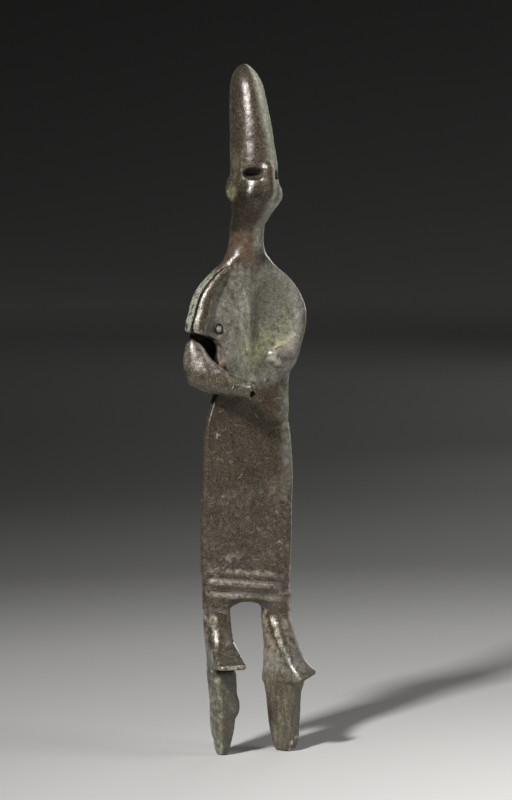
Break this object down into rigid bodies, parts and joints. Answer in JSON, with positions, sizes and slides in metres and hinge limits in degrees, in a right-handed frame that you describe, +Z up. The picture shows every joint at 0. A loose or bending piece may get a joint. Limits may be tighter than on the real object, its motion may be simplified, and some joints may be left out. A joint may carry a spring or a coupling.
{
  "type": "deity figurine",
  "caption": "Small cast bronze figurine of a standing deity with a tall cap, pierced fists, a long robe and a tang below each foot, on which it stands.",
  "frame": {"origin": "on the ground, under the middle of the figure's outline, in the plane of the two flat tang ends", "axes": "+Z up from the tangs to the cap; the figure faces -Y, and its right hand is on the -X side"},
  "size_m": [0.0402, 0.0188, 0.2],
  "materials": {
    "bronze": "dark brown bronze patina, semi-gloss, with green and pale corrosion in the hollows"
  },
  "bodies": {
    "root": {"figure": "bronze"}
  },
  "joints": []
}
